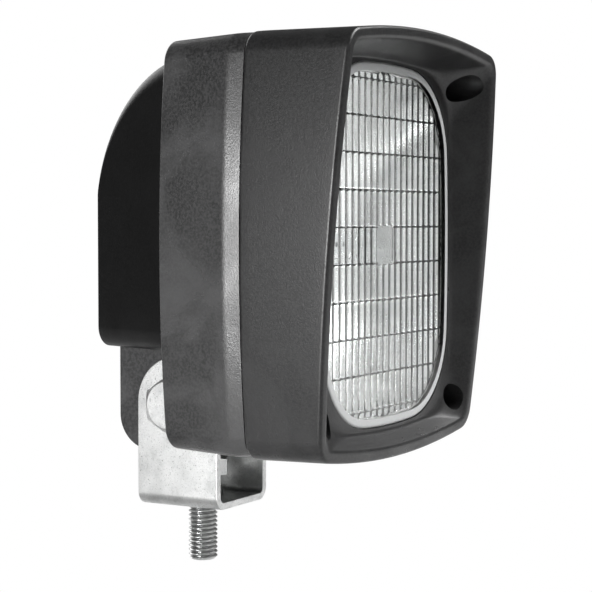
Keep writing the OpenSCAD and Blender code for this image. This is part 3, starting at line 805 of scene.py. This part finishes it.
shares = [(i / bowl_steps) ** bowl_power for i in range(bowl_steps + 1)]
rings = [bowl_ring(u, 0, inner_back + (flange_y - inner_back) * u) for u in reversed(shares)]
hole = [Vector((hole_r * cos(atan2(z, x)), 0, mid_z + hole_r * sin(atan2(z, x)))) for x, z in lens_line()]
rings += [[Vector((p.x, inner_back, p.z)) for p in hole], [Vector((p.x, neck_y, p.z)) for p in hole]]
rings += [bowl_ring(u, sheet, neck_y + (mouth_y - neck_y) * u) for u in shares]
rings += [stood(lens_line(flange_border), mouth_y), stood(lens_line(flange_border), flange_y)]
bowl = link("reflector_bowl", rings_to_mesh("reflector_bowl", rings))
finish_piece(bowl, mirror, "lamp", ["reflector"], angle=40)


# ---- Bulb seat and clip -----------------------------------------------------------
# A pressed steel ring and strip riveted to the bowl's neck, with a bent wire
# clip that swings in its two loops and holds the bulb's base down.

dress("bulb_seat", steel)
dress("bulb_clip", steel)


# ---- Halogen bulb -----------------------------------------------------------------
# A quartz capsule with a coiled tungsten filament, cemented in a pressed steel
# base whose flange lies on the seat.

quartz, tree, shader = new_material("bulb_quartz")
shader.inputs["Base Color"].default_value = (0.98, 0.985, 0.99, 1)
shader.inputs["Transmission Weight"].default_value = 1.0
shader.inputs["IOR"].default_value = 1.46
place = node(tree, "TexCoord")
waves = node(tree, "TexNoise", Scale=300.0, Detail=2.0)
tree.links.new(place.outputs["Object"], waves.inputs["Vector"])
tree.links.new(blend_value(tree, waves.outputs["Fac"], 0.01, 0.05), shader.inputs["Roughness"])
tungsten = plain_finish("tungsten", (0.35, 0.35, 0.36), 1.0, 0.5, 900.0, 0.2)
dress("bulb_base", steel)
dress("bulb_glass", quartz)
dress("bulb_filament", tungsten)


# ---- Leads ------------------------------------------------------------------------
# Two insulated wires run from the bulb's base to the inlet: live in red and
# ground in black.

red_sleeve = plain_finish("red_sleeve", (0.42, 0.03, 0.025), 0.0, 0.45, 400.0, 0.15)
black_sleeve = plain_finish("black_sleeve", (0.028, 0.028, 0.03), 0.0, 0.45, 400.0, 0.15)
dress("live_lead", red_sleeve)
dress("ground_lead", black_sleeve)


# ---- Inlet and vent ---------------------------------------------------------------
# A moulded two-pole inlet with brass pins, screwed to the housing's rear face
# over a rubber seal, and a small breather that keeps the lamp dry.

dress("power_socket", housing_plastic)
dress("socket_pins", brass)
dress("socket_gasket", rubber)
dress("socket_screws", zinc)
dress("breather_vent", housing_plastic)


# ---- Lens seal --------------------------------------------------------------------
# A ring of pale silicone between the reflector's flange and the glass, squeezed
# when the hood is screwed down.

silicone = plain_finish("pale_silicone", (0.50, 0.50, 0.49), 0.0, 0.55, 900.0, 0.2)
dress("lens_gasket", silicone)


# ---- Lens ---------------------------------------------------------------------
# Pressed clear glass.  Its back is cut into ten bands, each with a row of
# upright flutes, and a plain rim runs round them; a blank pad sits mid-lens.

glass, tree, shader = new_material("lens_glass")
shader.inputs["Base Color"].default_value = (0.97, 0.985, 0.98, 1)
shader.inputs["Transmission Weight"].default_value = 1.0
shader.inputs["IOR"].default_value = 1.5
place = node(tree, "TexCoord")
film = node(tree, "TexNoise", Scale=140.0, Detail=4.0)
tree.links.new(place.outputs["Object"], film.inputs["Vector"])
tree.links.new(blend_value(tree, ramp(tree, film.outputs["Fac"], 0.4, 0.75), 0.02, 0.07),
               shader.inputs["Roughness"])
ripple = node(tree, "TexNoise", Scale=260.0, Detail=2.0)
tree.links.new(place.outputs["Object"], ripple.inputs["Vector"])
bump(tree, shader, ripple.outputs["Fac"], 0.04, 0.0001)

ground_rim, tree, shader = new_material("ground_rim")
frost = node(tree, "TexNoise", Scale=1500.0, Detail=2.0)
place = node(tree, "TexCoord")
tree.links.new(place.outputs["Object"], frost.inputs["Vector"])
tree.links.new(blend_colour(tree, frost.outputs["Fac"], (0.50, 0.51, 0.51), (0.66, 0.67, 0.67)),
               shader.inputs["Base Color"])
shader.inputs["Roughness"].default_value = 0.45
bump(tree, shader, frost.outputs["Fac"], 0.2, 0.00003)

lens_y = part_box("lens")[0].y + 1 * MM
lens_back_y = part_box("lens")[1].y
lens_border = 2.6 * MM
flute_w, band_h = 4.3 * MM, 11.75 * MM
flute_depth, band_depth = 0.55 * MM, 0.45 * MM
glass_t, fluted_t = lens_back_y - lens_y, 3.1 * MM
rim = 3.0 * MM
pad_w, pad_h, pad_rise = 11 * MM, 13 * MM, 0.1 * MM
valley_start = 0.91


def lens_back(x, z):
    """Depth of the fluted back behind the lens face at a point of the lens."""
    if abs(x) < pad_w / 2 and abs(z) < pad_h / 2:
        return fluted_t + pad_rise
    across_flute = (x / flute_w + 0.5) % 1.0 * 2 - 1
    across_band = abs((z / band_h + 0.5) % 1.0 * 2 - 1)
    valley = max(0.0, across_band - valley_start) / 0.09
    return fluted_t + flute_depth * (1 - across_flute ** 2) - band_depth * valley ** 2


def half_chord(line, z):
    """Half width of an outline at height z."""
    best = 0.0
    for (xa, za), (xb, zb) in zip(line, line[1:] + line[:1]):
        if (za - z) * (zb - z) <= 0 and abs(za - zb) > 1e-9:
            best = max(best, xa + (xb - xa) * (z - za) / (zb - za))
    return best


window = crowned(lens_w / 2 - rim, lens_h / 2 - rim, lens_r - rim, radians(3), radians(4), 40, 40)
columns, per_flute, rows_high = 22, 8, 120
fade = 0.6 * MM
top = max(z for x, z in window) - 0.02 * MM
row_z = sorted({round(-top + 2 * top * i / rows_high, 7) for i in range(rows_high + 1)}
               | {round((k + 0.5) * band_h + d, 7) for k in range(-5, 5) for d in (-0.0004, 0.0, 0.0004)
                  if abs((k + 0.5) * band_h) < top - 0.001})
bm = bmesh.new()
grid = []
for z in row_z:
    chord = half_chord(window, z)
    row = []
    for i in range(columns * per_flute + 1):
        x = max(-chord, min(chord, (i / per_flute - columns / 2) * flute_w))
        edge = max(0.0, min(1.0, (chord - abs(x)) / fade, (top - abs(z)) / fade))
        depth = glass_t + (lens_back(x, z) - glass_t) * edge
        row.append(bm.verts.new((x, lens_y + depth, mid_z + z)))
    grid.append(row)
for low, high in zip(grid, grid[1:]):
    for i in range(len(low) - 1):
        bm.faces.new((low[i], low[i + 1], high[i + 1], high[i]))
bmesh.ops.remove_doubles(bm, verts=bm.verts, dist=2e-6)
bmesh.ops.dissolve_degenerate(bm, dist=1e-6, edges=bm.edges)
inner_edges = [e for e in bm.edges if e.is_boundary]
shell = [stood(lens_line(lens_border), lens_back_y), stood(lens_line(lens_border), lens_y),
         stood(lens_line(-0.15 * MM), lens_y), stood(lens_line(-0.3 * MM), lens_y - 0.6 * MM),
         stood(lens_line(-0.7 * MM), lens_y - 0.9 * MM), stood(lens_line(-1.2 * MM), lens_y - 1 * MM),
         stood(lens_line(-rim), lens_y - 1 * MM)]
rows = [[bm.verts.new(p) for p in ring] for ring in shell]
count = len(rows[0])
for low, high in zip(rows, rows[1:]):
    for i in range(count):
        j = (i + 1) % count
        side = bm.faces.new((low[i], low[j], high[j], high[i]))
        side.material_index = 1 if low is not rows[0] else 0
bm.faces.new(rows[-1])
outer_edges = [bm.edges.get((rows[0][i], rows[0][(i + 1) % count])) for i in range(count)]
bmesh.ops.triangle_fill(bm, use_beauty=False, use_dissolve=False, edges=inner_edges + outer_edges)
bmesh.ops.recalc_face_normals(bm, faces=bm.faces)
mesh = bpy.data.meshes.new("lens_pane")
bm.to_mesh(mesh)
bm.free()
pane = link("lens_pane", mesh)
finish_piece(pane, glass, "lamp", ["lens"], angle=50)
pane.data.materials.append(ground_rim)


# ---- Hood ---------------------------------------------------------------------
# One nylon moulding: a crowned outside, a flat lip that leans forward at the
# top, a funnel down to the lens, and four deep wells for the long screws.

hood_plastic = moulded_plastic("hood_plastic", (0.009, 0.009, 0.0093), (0.024, 0.024, 0.0243),
                               0.36, 0.50, 2300.0, 0.00009)

hood_lean = radians(4.5)
front_y = seam_y - hood_d
lip_w, edge_r, funnel_corner_r = 3.8 * MM, 1.3 * MM, 4.2 * MM
foot_side, foot_r = 1.5 * MM, 20 * MM
well_r, well_floor_y = 4.5 * MM, seam_y - 6 * MM
well_wall, seat_gap, pocket_side = 1.7 * MM, 0.2 * MM, 2.8 * MM
edge_back, edge_side = 0.95 * MM, 1.1 * MM
lip_face = [body_line(front_y, inset) for inset in (edge_r, lip_w - edge_r)]
outer_low = stood(body_line(front_y + edge_r), front_y + edge_r, hood_lean)
outer_corner = stood(body_line(front_y), front_y, hood_lean)
lip_start = stood(lip_face[0], front_y, hood_lean)
lip_end = stood(lip_face[1], front_y, hood_lean)
lip_corner = stood(body_line(front_y, lip_w, funnel_corner_r), front_y, hood_lean)
ledge_y = lens_y - 1 * MM
foot_line = crowned(lens_w / 2 + foot_side, lens_h / 2 + foot_side, foot_r, radians(3), radians(4))
foot = stood(foot_line, ledge_y)
lens_edge = stood(lens_line(), ledge_y)
funnel_start = between(lip_corner, foot, 0.12)
funnel_end = between(lip_corner, foot, 0.80)
ledge_start = between(foot, lens_edge, 0.55)
seat_inner = stood(lens_line(), lens_y + seat_gap)
pocket = lens_line(pocket_side)
core_y = lens_back_y + 1 * MM
rings = curve_rings(stood(body_line(seam_y, edge_back), seam_y),
                    stood(body_line(seam_y, 0.12 * MM), seam_y - 0.12 * MM),
                    stood(body_line(seam_y - edge_side), seam_y - edge_side), 4)
rings += [between(rings[-1], outer_low, t / 8) for t in range(1, 8)]
rings += curve_rings(outer_low, outer_corner, lip_start)
rings += curve_rings(lip_end, lip_corner, funnel_start)
rings += [between(funnel_start, funnel_end, t / 8) for t in range(1, 8)]
rings += curve_rings(funnel_end, foot, ledge_start, 6)
rings += [lens_edge, seat_inner, stood(pocket, lens_y + seat_gap), stood(pocket, core_y),
          stood(body_line(core_y, shell_t), core_y), stood(body_line(seam_y, shell_t), seam_y)]
hood = link("hood_shell", rings_to_mesh("hood_shell", rings))
for x, z in each_screw():
    carve(hood, round_bar("boss", x, z, well_r + well_wall, seam_y, lens_back_y), "UNION")
    carve(hood, round_bar("well", x, z, well_r, well_floor_y, front_y - 20 * MM))
    carve(hood, round_bar("hole", x, z, screw_hole_r, seam_y + 1 * MM, well_floor_y - 1 * MM))
finish_piece(hood, hood_plastic, "lamp", ["hood"], angle=28)


# ---- Hood screws ------------------------------------------------------------------
# Four long zinc-plated screws at the bottom of the wells pull the hood, the
# frame and the housing together.

dress("hood_screws", zinc)
